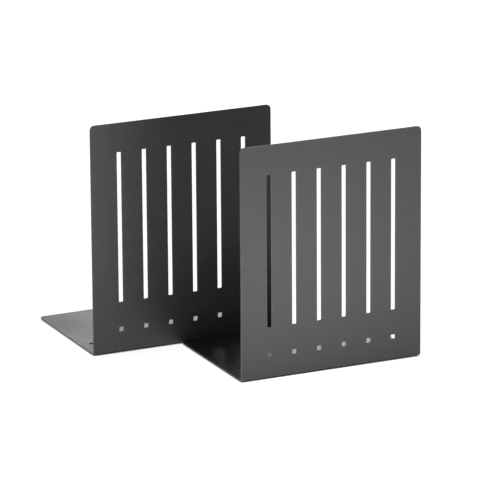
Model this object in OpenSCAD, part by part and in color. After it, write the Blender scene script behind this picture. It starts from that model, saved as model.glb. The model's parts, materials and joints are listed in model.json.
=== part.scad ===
// A pair of L-shaped steel book ends, each bent from one sheet, with anti-slip pads under its foot.
// +Z is up and the uprights face -Y, so each foot runs back along +Y from the bend.
// The origin is at the bottom centre of the pair, on the surface that the pads stand on.

/* [Sheet] */
// Width of each book end
sheet_w = 200; // [150:1:260]
// Height of the upright above the underside of the foot
upright_h = 240; // [220:1:320]
// Depth of the foot, from the front of the upright to the foot's far edge
foot_d = 145; // [100:1:200]
// Thickness of the steel sheet
sheet_t = 1; // [0.8:0.1:2]
// Inside radius of the bend
bend_r = 1; // [0.5:0.1:3]
// Radius of the four free corners
corner_r = 5; // [2:0.5:15]

/* [Slots] */
// Number of slots in the upright
slot_count = 6; // [2:1:6]
// Distance between neighbouring slot centres
slot_pitch = 27.5; // [12:0.5:28]
// Width of a slot
slot_w = 4.5; // [3:0.5:8]
// Length of a slot
slot_h = 157; // [60:0.5:160]
// Height of the slots' lower ends above the underside of the foot
slot_z = 52.5; // [40:0.5:55]
// Radius of the slot corners
slot_corner_r = 0.8; // [0.2:0.1:1.4]
// Side of the square hole under each slot
square_w = 4.5; // [3:0.5:8]
// Height of the square holes' centres above the underside of the foot
square_z = 23.75; // [12:0.25:30]

/* [Foot holes] */
// Diameter of the two round holes in the foot
hole_d = 5; // [3:0.5:8]
// Distance from the side edge to a hole's centre
hole_inset = 12.5; // [8:0.5:30]
// Distance from the front of the upright to the holes' centres
hole_y = 35; // [30:0.5:60]

/* [Pads] */
// Diameter of an anti-slip pad
pad_d = 12; // [8:0.5:14]
// Thickness of an anti-slip pad
pad_t = 1; // [0.5:0.1:3]
// Distance from the edges of the foot to a pad's centre
pad_inset = 14; // [12:0.5:16]

/* [Pair] */
// How far the right book end stands to the side of the left one
pair_shift = 97.5; // [0:0.5:300]
// Clearance between the right foot's far edge and the left upright
pair_gap = 0.3; // [0.3:0.1:50]

/* [Hidden] */
$fn = 64;

// Outside radius of the bend, which is also where both flat stretches of the sheet begin
bend_out_r = bend_r + sheet_t;
// How far the right upright stands in front of the left one
pair_step = foot_d + pair_gap;

// Where the front left corner of each book end stands
left_at = [-(sheet_w + pair_shift) / 2, (pair_step - foot_d) / 2, pad_t];
right_at = left_at + [pair_shift, -pair_step, 0];

// Each pad as its name and its centre on the foot, from the front left corner
pad_places = [
    ["front_left", [pad_inset, pad_inset]],
    ["front_right", [sheet_w - pad_inset, pad_inset]],
    ["back_left", [pad_inset, foot_d - pad_inset]],
    ["back_right", [sheet_w - pad_inset, foot_d - pad_inset]]
];

// A rectangle centred on x = 0 and standing on y = 0, with all four corners rounded
module rounded_slot(w, h, r) {
    translate([-w / 2, r]) square([w, h - 2 * r]);
    translate([r - w / 2, 0]) square([w - 2 * r, h]);
    for (x = [r - w / 2, w / 2 - r], y = [r, h - r])
        translate([x, y]) circle(r);
}

// The outline of one flat stretch of sheet, from the bend to its free edge with two rounded corners
module flange_outline(reach) {
    translate([0, bend_out_r]) square([sheet_w, reach - corner_r - bend_out_r]);
    translate([corner_r, bend_out_r]) square([sheet_w - 2 * corner_r, reach - bend_out_r]);
    for (x = [corner_r, sheet_w - corner_r])
        translate([x, reach - corner_r]) circle(corner_r);
}

// The slots, with one square hole under each, centred across the sheet
module upright_cutouts() {
    for (i = [0 : slot_count - 1]) {
        x = sheet_w / 2 + (i - (slot_count - 1) / 2) * slot_pitch;
        translate([x, slot_z]) rounded_slot(slot_w, slot_h, slot_corner_r);
        translate([x - square_w / 2, square_z - square_w / 2]) square(square_w);
    }
}

// The standing stretch of the sheet, with its front face on y = 0
module upright() {
    translate([0, sheet_t, 0]) rotate([90, 0, 0]) linear_extrude(sheet_t) difference() {
        flange_outline(upright_h);
        upright_cutouts();
    }
}

// The lying stretch of the sheet, with its underside on z = 0
module foot() {
    linear_extrude(sheet_t) difference() {
        flange_outline(foot_d);
        for (x = [hole_inset, sheet_w - hole_inset])
            translate([x, hole_y]) circle(d = hole_d);
    }
}

// The quarter ring that joins the upright and the foot
module bend() {
    rotate([90, 0, 90]) linear_extrude(sheet_w) translate([bend_out_r, bend_out_r]) intersection() {
        difference() {
            circle(bend_out_r);
            circle(bend_r);
        }
        translate([-bend_out_r, -bend_out_r]) square(bend_out_r);
    }
}

// One book end, with its front left corner at the origin and its underside on z = 0
module bookend() {
    color("#3f4042") union() {
        upright();
        bend();
        foot();
    }
}

// One anti-slip pad, with its top stuck to the underside of the foot
module pad(centre) {
    color("#19191a") translate([centre.x, centre.y, -pad_t]) cylinder(h = pad_t, d = pad_d);
}

module left_bookend() { translate(left_at) bookend(); }
module right_bookend() { translate(right_at) bookend(); }

left_bookend();
right_bookend();
for (side = [["left_pad_", left_at], ["right_pad_", right_at]], place = pad_places)
    translate(side[1]) pad(place[1]);
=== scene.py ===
# A pair of powder-coated sheet-steel book ends on a pale floor. Everything is in metres, +Z up.
import json
import math

import bpy
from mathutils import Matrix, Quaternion, Vector
from mathutils.geometry import delaunay_2d_cdt


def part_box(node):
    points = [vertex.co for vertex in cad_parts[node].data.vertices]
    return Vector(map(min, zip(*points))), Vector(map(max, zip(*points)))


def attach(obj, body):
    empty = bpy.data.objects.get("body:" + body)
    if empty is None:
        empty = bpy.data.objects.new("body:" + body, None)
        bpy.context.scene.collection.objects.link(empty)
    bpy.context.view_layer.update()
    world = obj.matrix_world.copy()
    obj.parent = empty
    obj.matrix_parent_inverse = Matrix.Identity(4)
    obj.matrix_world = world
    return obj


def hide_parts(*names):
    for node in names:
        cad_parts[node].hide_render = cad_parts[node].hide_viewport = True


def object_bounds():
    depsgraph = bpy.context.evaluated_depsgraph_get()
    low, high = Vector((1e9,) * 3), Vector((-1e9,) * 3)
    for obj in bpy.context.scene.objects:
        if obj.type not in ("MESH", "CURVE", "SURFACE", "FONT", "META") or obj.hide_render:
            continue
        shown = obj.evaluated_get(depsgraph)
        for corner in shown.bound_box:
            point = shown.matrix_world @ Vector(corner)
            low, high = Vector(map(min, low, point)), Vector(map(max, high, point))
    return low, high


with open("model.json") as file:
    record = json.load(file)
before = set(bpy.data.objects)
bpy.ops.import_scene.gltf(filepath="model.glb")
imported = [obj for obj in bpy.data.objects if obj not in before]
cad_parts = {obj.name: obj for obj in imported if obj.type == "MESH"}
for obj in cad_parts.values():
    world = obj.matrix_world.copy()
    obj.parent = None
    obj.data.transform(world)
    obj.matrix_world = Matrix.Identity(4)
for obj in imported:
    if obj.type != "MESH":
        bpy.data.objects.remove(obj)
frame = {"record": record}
cad_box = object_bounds()

MM = 0.001

# ---- Sizes of the bent sheet ----------------------------------------------------------------------

SHEET_T = 1.0 * MM  # thickness of the steel
BEND_R = 1.0 * MM  # inside radius of the bend
CORNER_R = 5.0 * MM  # the four free corners

SLOT_COUNT = 6
SLOT_PITCH = 27.5 * MM
SLOT_W, SLOT_H = 4.5 * MM, 157.0 * MM
SLOT_Z = 52.5 * MM  # lower ends of the slots above the underside of the foot
SLOT_CORNER_R = 0.8 * MM
SQUARE_W = 4.5 * MM
SQUARE_Z = 23.75 * MM  # middle of the square holes above the underside of the foot
SQUARE_CORNER_R = 0.3 * MM

HOLE_D = 5.0 * MM
HOLE_INSET = 12.5 * MM  # from the side edge to the centre of a hole in the foot
HOLE_Y = 35.0 * MM  # from the front of the upright to the centre of a hole in the foot

EDGE_R = 0.22 * MM  # rounding that the coat gives to every cut edge
EDGE_BAND = 1.4 * MM  # how far in from an edge the coat is thinner
CORNER_STEPS = 10
EDGE_STEPS = 4
BEND_STEPS = 12
SAME_ROW = 1e-7  # points of one row of the bend are this close in height
SAME_POINT = 1e-9  # the triangulation merges points closer than this

MID_R = BEND_R + SHEET_T / 2
BEND_OUT_R = BEND_R + SHEET_T
BEND_LENGTH = MID_R * math.pi / 2


# ---- The bent sheet as a flat blank, folded up ----------------------------------------------------


def fold(x, v, h):
    """Where a point of the flat blank lies once it is bent, with its outward normal and tangent.

    v runs from the foot's far edge through the bend (0 to BEND_LENGTH) up the upright. h is the
    distance out of the middle of the sheet, towards the upright's front and the foot's underside."""
    angle = min(max(v / MID_R, 0.0), math.pi / 2)
    normal = Vector((0.0, -math.sin(angle), -math.cos(angle)))
    along = Vector((0.0, -math.cos(angle), math.sin(angle)))
    beyond = v - angle * MID_R
    place = Vector((x, BEND_OUT_R, BEND_OUT_R)) + (MID_R + h) * normal + beyond * along
    return place, normal, along


def rounded_loop(centre, half_size, corner_r, grow=0.0, rows=()):
    """Points round a rectangle with rounded corners, counter-clockwise, each with its outward way.

    grow moves the outline out, and rows are heights where both upright sides get an extra point."""
    loop = []
    signs = ((1, 1), (-1, 1), (-1, -1), (1, -1))
    first_step = 1 if corner_r >= half_size[0] else 0  # on a full circle the quarters share an end
    for quarter, (side_x, side_y) in enumerate(signs):
        middle = Vector(
            (
                centre[0] + side_x * (half_size[0] - corner_r),
                centre[1] + side_y * (half_size[1] - corner_r),
            )
        )
        for i in range(first_step, CORNER_STEPS + 1):
            angle = math.pi / 2 * (quarter + i / CORNER_STEPS)
            way = Vector((math.cos(angle), math.sin(angle)))
            loop.append((middle + (corner_r + grow) * way, way))
        if quarter in (1, 3):
            way = Vector((side_x, 0.0))
            x = centre[0] + side_x * (half_size[0] + grow)
            order = sorted(rows, reverse=(quarter == 1))
            loop.extend((Vector((x, y)), way) for y in order)
    return loop


def rim_profile():
    """The rounded cut edge, from the front of the sheet to its back.

    Each step is (how far in from the edge, height h, share of the face normal, edge mask)."""
    half = [(EDGE_BAND, SHEET_T / 2, 1.0, 0.0)]
    for i in range(EDGE_STEPS + 1):
        angle = math.pi / 2 * i / EDGE_STEPS
        inset = EDGE_R * (1 - math.sin(angle))
        height = SHEET_T / 2 - EDGE_R * (1 - math.cos(angle))
        half.append((inset, height, math.cos(angle), 1.0))
    back = [(inset, -height, -share, mask) for inset, height, share, mask in reversed(half)]
    return half + back


def blank_outlines(width, depth, height):
    """The blank's outline and its holes, each as (centre, half size, corner radius, rows)."""
    low, high = BEND_OUT_R - depth, BEND_LENGTH + height - BEND_OUT_R
    rows = [BEND_LENGTH * i / BEND_STEPS for i in range(BEND_STEPS + 1)]
    outer = ((width / 2, (low + high) / 2), (width / 2, (high - low) / 2), CORNER_R, rows)
    upright_v = BEND_LENGTH - BEND_OUT_R
    holes = []
    for i in range(SLOT_COUNT):
        x = width / 2 + (i - (SLOT_COUNT - 1) / 2) * SLOT_PITCH
        slot_v = upright_v + SLOT_Z + SLOT_H / 2
        holes.append(((x, slot_v), (SLOT_W / 2, SLOT_H / 2), SLOT_CORNER_R, ()))
        square_v = upright_v + SQUARE_Z
        holes.append(((x, square_v), (SQUARE_W / 2, SQUARE_W / 2), SQUARE_CORNER_R, ()))
    for x in (HOLE_INSET, width - HOLE_INSET):
        holes.append(((x, BEND_OUT_R - HOLE_Y), (HOLE_D / 2, HOLE_D / 2), HOLE_D / 2, ()))
    return outer, holes


def bent_sheet(name, corner, width, depth, height):
    """The whole book end as one closed mesh: both faces, and a rounded edge round every outline."""
    outer, holes = blank_outlines(width, depth, height)
    profile = rim_profile()
    verts, normals, mask, faces = [], [], [], []
    flat, borders, owner = [], [], []  # the inner ring of every outline, for filling the faces
    front_of, back_of = [], []

    for number, (centre, half_size, corner_r, rows) in enumerate([outer] + holes):
        sign = 1 if number == 0 else -1  # the steel is inside the outline, and outside each hole
        start = len(verts)
        for inset, h, share, edge in profile:
            for point, way in rounded_loop(centre, half_size, corner_r, -sign * inset, rows):
                place, normal, along = fold(point.x, point.y, h)
                out = sign * (Vector((way.x, 0.0, 0.0)) + way.y * along)
                verts.append(corner + place)
                normals.append((share * normal + math.sqrt(max(0.0, 1 - share**2)) * out).normalized())
                mask.append(edge)
        count = (len(verts) - start) // len(profile)
        for k in range(len(profile) - 1):
            for i in range(count):
                j = (i + 1) % count
                upper, lower = start + k * count, start + (k + 1) * count
                quad = (lower + i, lower + j, upper + j, upper + i)
                faces.append(quad if sign > 0 else quad[::-1])
        first = len(flat)
        ring = rounded_loop(centre, half_size, corner_r, -sign * profile[0][0], rows)
        flat.extend(point for point, way in ring)
        owner.extend([number] * count)
        borders.extend((first + i, first + (i + 1) % count) for i in range(count))
        front_of.extend(range(start, start + count))
        back_of.extend(range(start + (len(profile) - 1) * count, len(verts)))

    for v in outer[3]:  # each row of the bend runs straight across the sheet
        ends = [i for i, p in enumerate(flat) if owner[i] == 0 and abs(p.y - v) < SAME_ROW]
        borders.append(tuple(ends))
    _, _, triangles, origins, _, _ = delaunay_2d_cdt(flat, borders, [], 0, SAME_POINT)
    for triangle in triangles:
        a, b, c = (origins[i][0] for i in triangle)
        if owner[a] and owner[a] == owner[b] == owner[c]:
            continue  # this one would close a hole
        faces.append((front_of[a], front_of[b], front_of[c]))
        faces.append((back_of[c], back_of[b], back_of[a]))

    mesh = bpy.data.meshes.new(name)
    mesh.from_pydata(verts, [], faces)
    mesh.polygons.foreach_set("use_smooth", [True] * len(mesh.polygons))
    mesh.attributes.new("edge_mask", "FLOAT", "POINT").data.foreach_set("value", mask)
    mesh.normals_split_custom_set_from_vertices(normals)
    mesh.update()
    return link(name, mesh)


def link(name, mesh):
    piece = bpy.data.objects.new(name, mesh)
    bpy.context.scene.collection.objects.link(piece)
    return piece


# ---- The anti-slip pads ---------------------------------------------------------------------------

PAD_FILLET = 0.3 * MM  # lower edge of the rubber
PAD_FILM_T = 0.12 * MM  # adhesive film on top of the rubber
PAD_FILM_INSET = 0.15 * MM
PAD_RING = 0.65  # the moulded ring on the underside, as a share of the radius
PAD_RING_DEPTH = 0.25 * MM
PAD_RING_WIDTH = 0.5 * MM
PAD_SEGMENTS = 72
PAD_FILLET_STEPS = 6
PAD_SHARP = 40.0  # degrees between faces, above which an edge of the pad stays sharp


def pad_profile(radius, height):
    """Radius and height of a pad from the middle of its underside round to the middle of its top."""
    ring = PAD_RING * radius
    points = [(0.0, 0.0)]
    points += [(ring - PAD_RING_WIDTH, 0.0), (ring - PAD_RING_WIDTH / 2, PAD_RING_DEPTH)]
    points += [(ring + PAD_RING_WIDTH / 2, PAD_RING_DEPTH), (ring + PAD_RING_WIDTH, 0.0)]
    for i in range(PAD_FILLET_STEPS + 1):
        angle = math.pi / 2 * i / PAD_FILLET_STEPS
        out = radius - PAD_FILLET * (1 - math.sin(angle))
        points.append((out, PAD_FILLET * (1 - math.cos(angle))))
    film_z = height - PAD_FILM_T
    points += [(radius, film_z), (radius - PAD_FILM_INSET, film_z)]
    points += [(radius - PAD_FILM_INSET, height), (0.0, height)]
    return points


def pad(name, low, high):
    """A round moulded pad that fills the box from low to high."""
    middle = (low + high) / 2
    profile = pad_profile((high.x - low.x) / 2, high.z - low.z)
    verts, faces = [], []
    for out, height in profile:
        for i in range(PAD_SEGMENTS if out else 1):
            angle = 2 * math.pi * i / PAD_SEGMENTS
            x, y = middle.x + out * math.cos(angle), middle.y + out * math.sin(angle)
            verts.append((x, y, low.z + height))
    rings = len(profile) - 2
    top = len(verts) - 1
    for i in range(PAD_SEGMENTS):
        j = (i + 1) % PAD_SEGMENTS
        faces.append((0, 1 + j, 1 + i))
        for k in range(rings - 1):
            a, b = 1 + k * PAD_SEGMENTS, 1 + (k + 1) * PAD_SEGMENTS
            faces.append((a + i, a + j, b + j, b + i))
        last = 1 + (rings - 1) * PAD_SEGMENTS
        faces.append((last + i, last + j, top))
    mesh = bpy.data.meshes.new(name)
    mesh.from_pydata(verts, [], faces)
    mesh.polygons.foreach_set("use_smooth", [True] * len(mesh.polygons))
    mesh.set_sharp_from_angle(angle=math.radians(PAD_SHARP))
    return link(name, mesh)


# ---- Materials ------------------------------------------------------------------------------------

MIX_A, MIX_B, MIX_RESULT = 6, 7, 2  # the colour sockets of a Mix node
NOISE_SPAN = (0.3, 0.7)  # noise seldom leaves this span


class Shader:
    """A node-based material, with short ways to add and join nodes."""

    def __init__(self, name):
        self.material = bpy.data.materials.new(name)
        self.material.use_nodes = True
        self.nodes = self.material.node_tree.nodes
        self.links = self.material.node_tree.links
        self.surface = self.nodes["Principled BSDF"]
        self.place = self.add("ShaderNodeTexCoord").outputs["Object"]

    def add(self, kind, **settings):
        node = self.nodes.new(kind)
        for key, value in settings.items():
            setattr(node, key, value)
        return node

    def join(self, source, target):
        self.links.new(source, target)

    def noise(self, size, detail=3.0, roughness=0.5):
        """Noise from 0 to 1 whose lumps are about size across."""
        node = self.add("ShaderNodeTexNoise")
        node.inputs["Scale"].default_value = 1 / size
        node.inputs["Detail"].default_value = detail
        node.inputs["Roughness"].default_value = roughness
        self.join(self.place, node.inputs["Vector"])
        return node.outputs["Fac"]

    def remap(self, value, low, high, to_low, to_high):
        node = self.add("ShaderNodeMapRange")
        for key, number in zip(
            ("From Min", "From Max", "To Min", "To Max"), (low, high, to_low, to_high)
        ):
            node.inputs[key].default_value = number
        self.join(value, node.inputs["Value"])
        return node.outputs["Result"]

    def math(self, operation, a, b):
        node = self.add("ShaderNodeMath", operation=operation)
        for slot, value in enumerate((a, b)):
            if isinstance(value, (int, float)):
                node.inputs[slot].default_value = value
            else:
                self.join(value, node.inputs[slot])
        return node.outputs["Value"]

    def blend(self, share, a, b):
        """Colour a where share is 0 and b where it is 1."""
        node = self.add("ShaderNodeMix", data_type="RGBA")
        self.join(share, node.inputs["Factor"])
        for slot, value in ((MIX_A, a), (MIX_B, b)):
            if isinstance(value, tuple):
                node.inputs[slot].default_value = (*value, 1.0)
            else:
                self.join(value, node.inputs[slot])
        return node.outputs[MIX_RESULT]

    def bump(self, height, depth, under=None):
        node = self.add("ShaderNodeBump")
        node.inputs["Strength"].default_value = 1.0
        node.inputs["Distance"].default_value = depth
        self.join(height, node.inputs["Height"])
        if under is not None:
            self.join(under, node.inputs["Normal"])
        return node.outputs["Normal"]


COAT_COLOUR = (0.027, 0.027, 0.028)
COAT_LIGHT = (0.044, 0.044, 0.046)
COAT_EDGE = (0.060, 0.060, 0.062)
COAT_IOR = 1.5
CLOUD_SHARE, SPECKLE_SHARE = 0.35, 0.65  # how far each takes the colour towards COAT_LIGHT
CLOUD_SIZE, PEEL_SIZE, GRAIN_SIZE = 60 * MM, 1.4 * MM, 0.35 * MM
SPECKLE_SPAN = (0.4, 0.7)
WEAR_SIZE, WEAR_SPAN, WEAR_LEAST = 9 * MM, (0.35, 0.65), 0.3
PEEL_DEPTH, GRAIN_DEPTH = 0.10 * MM, 0.03 * MM
ROUGH_LOW, ROUGH_HIGH = 0.38, 0.44
ROUGH_PEEL, ROUGH_GRAIN, ROUGH_WORN = 0.02, 0.04, 0.06  # how much each of them changes it


def powder_coat():
    """Satin anthracite powder coat: orange peel, a fine grain, faint clouds, and thinner at edges."""
    s = Shader("satin_powder_coat")
    clouds = s.noise(CLOUD_SIZE, detail=4.0)
    peel = s.noise(PEEL_SIZE, detail=2.0)
    grain = s.noise(GRAIN_SIZE, detail=2.0, roughness=0.6)
    edge = s.add("ShaderNodeAttribute", attribute_name="edge_mask").outputs["Fac"]

    tone = s.remap(clouds, *NOISE_SPAN, 0.0, CLOUD_SHARE)
    speckle = s.remap(grain, *SPECKLE_SPAN, 0.0, SPECKLE_SHARE)
    colour = s.blend(s.math("ADD", tone, speckle), COAT_COLOUR, COAT_LIGHT)
    wear = s.remap(s.noise(WEAR_SIZE), *WEAR_SPAN, WEAR_LEAST, 1.0)
    worn = s.math("MULTIPLY", edge, wear)
    s.join(s.blend(worn, colour, COAT_EDGE), s.surface.inputs["Base Color"])

    satin = s.remap(clouds, *NOISE_SPAN, ROUGH_LOW, ROUGH_HIGH)
    peel_part = s.remap(peel, *NOISE_SPAN, -ROUGH_PEEL, ROUGH_PEEL)
    grain_part = s.remap(grain, *NOISE_SPAN, -ROUGH_GRAIN, ROUGH_GRAIN)
    rough = s.math("ADD", satin, s.math("ADD", peel_part, grain_part))
    smoother = s.math("MULTIPLY", worn, ROUGH_WORN)
    s.join(s.math("SUBTRACT", rough, smoother), s.surface.inputs["Roughness"])
    s.surface.inputs["IOR"].default_value = COAT_IOR

    waves = s.bump(peel, PEEL_DEPTH)
    s.join(s.bump(grain, GRAIN_DEPTH, under=waves), s.surface.inputs["Normal"])
    return s.material


RUBBER_COLOUR = (0.014, 0.014, 0.015)
RUBBER_DUST = (0.055, 0.053, 0.050)
PEBBLE_SIZE, PEBBLE_DEPTH = 0.5 * MM, 0.05 * MM
DUST_SIZE, DUST_SPAN, DUST_MOST = 3 * MM, (0.5, 0.75), 0.8
RUBBER_ROUGH = (0.68, 0.85)


def pad_rubber():
    """Matt black rubber with a pebbled skin and a little dust in it."""
    s = Shader("black_pad_rubber")
    pebble = s.noise(PEBBLE_SIZE, detail=2.0)
    dust = s.remap(s.noise(DUST_SIZE, detail=5.0), *DUST_SPAN, 0.0, DUST_MOST)
    s.join(s.blend(dust, RUBBER_COLOUR, RUBBER_DUST), s.surface.inputs["Base Color"])
    s.join(s.remap(pebble, *NOISE_SPAN, *RUBBER_ROUGH), s.surface.inputs["Roughness"])
    s.join(s.bump(pebble, PEBBLE_DEPTH), s.surface.inputs["Normal"])
    return s.material


FLOOR_COLOUR = (0.86, 0.86, 0.86)
FLOOR_SHADE = (0.84, 0.84, 0.84)
FIBRE_SIZE = 4 * MM
FLOOR_ROUGH, FLOOR_SPECULAR = 0.9, 0.1
FLOOR_GLOW = 0.75  # the floor is a light table, so that it stays white beside the object
PAINTED_SHADE_REACH = 5 * MM  # how far up the floor looks for something that covers it; where it is covered the glow is cut, which paints shade under the sheets
PAINTED_SHADE_OPEN = (0.4, 0.65)  # the open share at which the glow starts, and the one at which it is full
PAINTED_SHADE_SAMPLES = 8
PAINTED_LIGHT_POOL_GLOW = 3.7  # painted pool of light: extra glow in the middle of an oval pool in front of the object
POOL_PLACE = (0.16, -0.59, 0.0)
POOL_TURN = -53.0  # degrees from +X to the pool's long way
POOL_RADII = (0.37, 0.19, 1.0)


def floor_paper():
    """Plain pale paper that glows like a light table, with a barely visible fibre, a painted pool of
    light in front of the object and painted shade where the sheets cover it.
    """
    s = Shader("floor_paper")
    fibre = s.noise(FIBRE_SIZE, detail=4.0)
    s.join(s.blend(fibre, FLOOR_SHADE, FLOOR_COLOUR), s.surface.inputs["Base Color"])
    s.surface.inputs["Roughness"].default_value = FLOOR_ROUGH
    s.surface.inputs["Specular IOR Level"].default_value = FLOOR_SPECULAR

    oval = s.add("ShaderNodeMapping", vector_type="TEXTURE")
    s.join(s.place, oval.inputs["Vector"])
    oval.inputs["Location"].default_value = POOL_PLACE
    oval.inputs["Rotation"].default_value = (0.0, 0.0, math.radians(POOL_TURN))
    oval.inputs["Scale"].default_value = POOL_RADII
    gap = s.add("ShaderNodeVectorMath", operation="LENGTH")
    s.join(oval.outputs["Vector"], gap.inputs[0])
    reach = gap.outputs["Value"]
    # painted pool of light: the floor's glow rises towards the middle of the oval in front of the
    # object
    fall = s.math("POWER", math.e, s.math("MULTIPLY", s.math("MULTIPLY", reach, reach), -1.0))
    glow = s.math("ADD", s.math("MULTIPLY", fall, PAINTED_LIGHT_POOL_GLOW), FLOOR_GLOW)
    # painted shade: the floor's glow is cut where the sheets cover it, so it is dark under them and in
    # their holes, with a thin dark fringe at their edges
    painted_shade_ao = s.add("ShaderNodeAmbientOcclusion", samples=PAINTED_SHADE_SAMPLES)
    painted_shade_ao.inputs["Distance"].default_value = PAINTED_SHADE_REACH
    clear_of_painted_shade = s.remap(painted_shade_ao.outputs["AO"], *PAINTED_SHADE_OPEN, 0.0, 1.0)
    s.surface.inputs["Emission Color"].default_value = (1.0, 1.0, 1.0, 1.0)
    s.join(s.math("MULTIPLY", glow, clear_of_painted_shade), s.surface.inputs["Emission Strength"])
    return s.material


# ---- Putting the pieces where the CAD nodes are ---------------------------------------------------


def stand_for(piece, node, body, material):
    piece.data.materials.append(material)
    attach(piece, body)
    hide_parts(node)


coat, rubber = powder_coat(), pad_rubber()
for body, nodes in frame["record"]["behaviour"]["bodies"].items():
    for node in nodes:
        low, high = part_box(node)
        if "_pad_" in node:
            stand_for(pad(node + "_rubber", low, high), node, body, rubber)
        else:
            size = high - low
            sheet = bent_sheet(node + "_sheet", low, size.x, size.y, size.z)
            stand_for(sheet, node, body, coat)

# ---- Floor, light and camera ----------------------------------------------------------------------

FLOOR_SIZE = 40.0
AIR_GLOW = 0.12  # even light from all round
RING_RADIUS = 4.0  # low softboxes stand in a ring, and the one behind to the right is the brightest
RING_RISE = 14.0  # degrees above level, seen from the middle of the pair
RING_SIZE = (3.3, 2.1)  # width and height
RING_LIGHTS = {45: 11.0, 90: 12.0, 137: 90.0, 225: 40.0, 270: 11.0, 315: 6.0}  # azimuth: watts
CAMERA_OFFSET = Vector((0.0157, 0.0002, -0.0189))  # from the middle of the pair to the camera's aim
CAMERA_AZIMUTH, CAMERA_ELEVATION, CAMERA_ROLL = -24.81, 16.16, -0.44  # degrees
CAMERA_DISTANCE = 4.385
CAMERA_LENS, CAMERA_SENSOR = 321.5, 36.0  # millimetres


def floor():
    half = FLOOR_SIZE / 2
    mesh = bpy.data.meshes.new("floor")
    corners = [(-half, -half, 0), (half, -half, 0), (half, half, 0), (-half, half, 0)]
    mesh.from_pydata(corners, [], [(0, 1, 2, 3)])
    mesh.materials.append(floor_paper())
    piece = link("floor", mesh)


def around(target, azimuth, elevation, distance):
    """The point at that distance from target; azimuth 0 is in front, on -Y, and 90 on +X."""
    a, e = math.radians(azimuth), math.radians(elevation)
    way = Vector((math.sin(a) * math.cos(e), -math.cos(a) * math.cos(e), math.sin(e)))
    return target + distance * way


def softbox(name, target, azimuth, elevation, distance, size, watts):
    light = bpy.data.lights.new(name, "AREA")
    light.shape = "RECTANGLE"
    light.size, light.size_y = size
    light.energy = watts
    lamp = bpy.data.objects.new(name, light)
    lamp.location = around(target, azimuth, elevation, distance)
    lamp.rotation_euler = (target - lamp.location).to_track_quat("-Z", "Y").to_euler()
    lamp.visible_camera = False
    bpy.context.scene.collection.objects.link(lamp)


def studio_air(strength):
    world = bpy.data.worlds.new("studio_air")
    world.use_nodes = True
    glow = world.node_tree.nodes["Background"]
    glow.inputs["Color"].default_value = (1.0, 1.0, 1.0, 1.0)
    glow.inputs["Strength"].default_value = strength
    bpy.context.scene.world = world


def camera(target, azimuth, elevation, roll, distance, lens):
    cam = bpy.data.cameras.new("camera")
    cam.lens = lens
    cam.sensor_width = CAMERA_SENSOR
    cam.clip_end = 100.0
    holder = bpy.data.objects.new("camera", cam)
    holder.location = around(target, azimuth, elevation, distance)
    aim = (target - holder.location).to_track_quat("-Z", "Y")
    turn = Quaternion((0.0, 0.0, 1.0), math.radians(roll))
    holder.rotation_euler = (aim @ turn).to_euler()
    bpy.context.scene.collection.objects.link(holder)
    bpy.context.scene.camera = holder


low, high = (Vector(corner) for corner in cad_box)
middle = (low + high) / 2
bpy.context.scene.view_settings.view_transform = "Standard"
floor()
studio_air(AIR_GLOW)
for azimuth, watts in RING_LIGHTS.items():
    softbox(f"ring_light_{azimuth}", middle, azimuth, RING_RISE, RING_RADIUS, RING_SIZE, watts)
aim_at = middle + CAMERA_OFFSET
camera(aim_at, CAMERA_AZIMUTH, CAMERA_ELEVATION, CAMERA_ROLL, CAMERA_DISTANCE, CAMERA_LENS)
